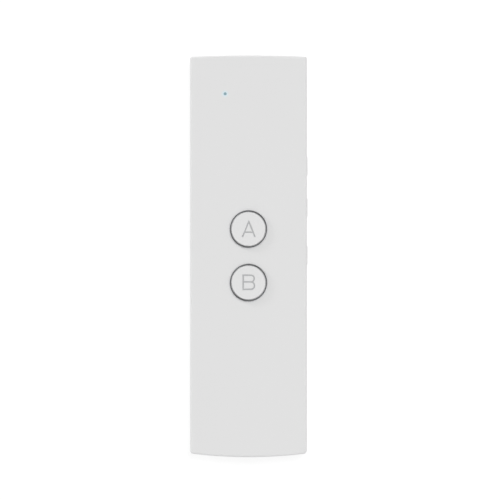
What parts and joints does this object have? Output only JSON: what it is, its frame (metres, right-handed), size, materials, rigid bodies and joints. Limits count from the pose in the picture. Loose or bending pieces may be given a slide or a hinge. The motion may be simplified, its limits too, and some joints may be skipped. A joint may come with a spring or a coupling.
{
  "type": "handheld translator",
  "caption": "Slim bar-shaped handheld translator with round ringed keys on its face, low keys along one edge, an indicator light and a charging socket.",
  "frame": {"origin": "under the middle of the case, on the flat of its back", "axes": "+Z out of the front face, +Y along the case towards the indicator light, +X towards the side keys"},
  "size_m": [0.0403, 0.1376, 0.0114],
  "materials": {
    "shell": "satin off-white moulded plastic",
    "cap": "satin off-white key plastic",
    "chrome": "polished chrome trim",
    "steel": "plain plated steel",
    "clear": "tinted clear plastic, lit from behind",
    "laminate": "green solder mask over glass laminate",
    "black": "black moulded plastic",
    "foil": "dull aluminium foil laminate",
    "foam": "dark soft foam and rubber",
    "nylon": "natural nylon",
    "red": "red wire sleeve",
    "ceramic": "fired ceramic"
  },
  "bodies": {
    "case": {"front_cover": "shell", "rear_cover": "shell", "ring_a": "chrome", "ring_b": "chrome", "switch_a_body": "black", "switch_b_body": "black", "switch_volume_up_body": "black", "switch_volume_down_body": "black", "switch_power_body": "black", "light_pipe": "clear", "indicator_led": "ceramic", "main_board": "laminate", "case_screw_1": "steel", "case_screw_2": "steel", "case_screw_3": "steel", "case_screw_4": "steel", "board_screw_1": "steel", "board_screw_2": "steel", "board_screw_3": "steel", "board_screw_4": "steel", "battery_pad": "foam", "battery_cell": "foil", "battery_board": "laminate", "battery_socket": "nylon", "battery_plug": "nylon", "battery_lead_red": "red", "battery_lead_black": "black", "speaker_mesh": "foam", "speaker_gasket": "foam", "speaker_frame": "black", "speaker_diaphragm": "foil", "speaker_magnet": "steel", "speaker_lead_red": "red", "speaker_lead_black": "black", "mic_capsule": "steel", "mic_boot": "foam", "usb_shell": "steel", "usb_tongue": "black", "radio_shield": "steel", "processor_chip": "black", "memory_chip": "black", "crystal": "foil", "charger_chip": "black", "antenna": "ceramic"},
    "button_a": {"button_a": "cap"},
    "button_b": {"button_b": "cap"},
    "volume_up_key": {"volume_up_key": "cap"},
    "volume_down_key": {"volume_down_key": "cap"},
    "power_key": {"power_key": "cap"},
    "switch_a_plunger": {"switch_a_plunger": "nylon"},
    "switch_b_plunger": {"switch_b_plunger": "nylon"},
    "switch_volume_up_plunger": {"switch_volume_up_plunger": "nylon"},
    "switch_volume_down_plunger": {"switch_volume_down_plunger": "nylon"},
    "switch_power_plunger": {"switch_power_plunger": "nylon"}
  },
  "joints": [
    {"name": "button_a_press", "type": "slide", "parent": "case", "child": "button_a", "axis": [0, 0, -1], "range_m": [0, 0.00035], "stiffness_N_per_m": 800, "springref_m": -0.0004},
    {"name": "button_b_press", "type": "slide", "parent": "case", "child": "button_b", "axis": [0, 0, -1], "range_m": [0, 0.00035], "stiffness_N_per_m": 800, "springref_m": -0.0004},
    {"name": "volume_up_press", "type": "slide", "parent": "case", "child": "volume_up_key", "axis": [-1, 0, 0], "range_m": [0, 0.00025], "stiffness_N_per_m": 800, "springref_m": -0.0004},
    {"name": "volume_down_press", "type": "slide", "parent": "case", "child": "volume_down_key", "axis": [-1, 0, 0], "range_m": [0, 0.00025], "stiffness_N_per_m": 800, "springref_m": -0.0004},
    {"name": "power_press", "type": "slide", "parent": "case", "child": "power_key", "axis": [-1, 0, 0], "range_m": [0, 0.00025], "stiffness_N_per_m": 800, "springref_m": -0.0004},
    {"name": "switch_a_slide", "type": "slide", "parent": "case", "child": "switch_a_plunger", "axis": [0, 0, -1], "range_m": [0, 0.00035]},
    {"name": "switch_b_slide", "type": "slide", "parent": "case", "child": "switch_b_plunger", "axis": [0, 0, -1], "range_m": [0, 0.00035]},
    {"name": "switch_volume_up_slide", "type": "slide", "parent": "case", "child": "switch_volume_up_plunger", "axis": [-1, 0, 0], "range_m": [0, 0.00025]},
    {"name": "switch_volume_down_slide", "type": "slide", "parent": "case", "child": "switch_volume_down_plunger", "axis": [-1, 0, 0], "range_m": [0, 0.00025]},
    {"name": "switch_power_slide", "type": "slide", "parent": "case", "child": "switch_power_plunger", "axis": [-1, 0, 0], "range_m": [0, 0.00025]}
  ],
  "couplings": [
    {"joint": "switch_a_slide", "follows": "button_a_press", "ratio": 1},
    {"joint": "switch_b_slide", "follows": "button_b_press", "ratio": 1},
    {"joint": "switch_volume_up_slide", "follows": "volume_up_press", "ratio": 1},
    {"joint": "switch_volume_down_slide", "follows": "volume_down_press", "ratio": 1},
    {"joint": "switch_power_slide", "follows": "power_press", "ratio": 1}
  ]
}
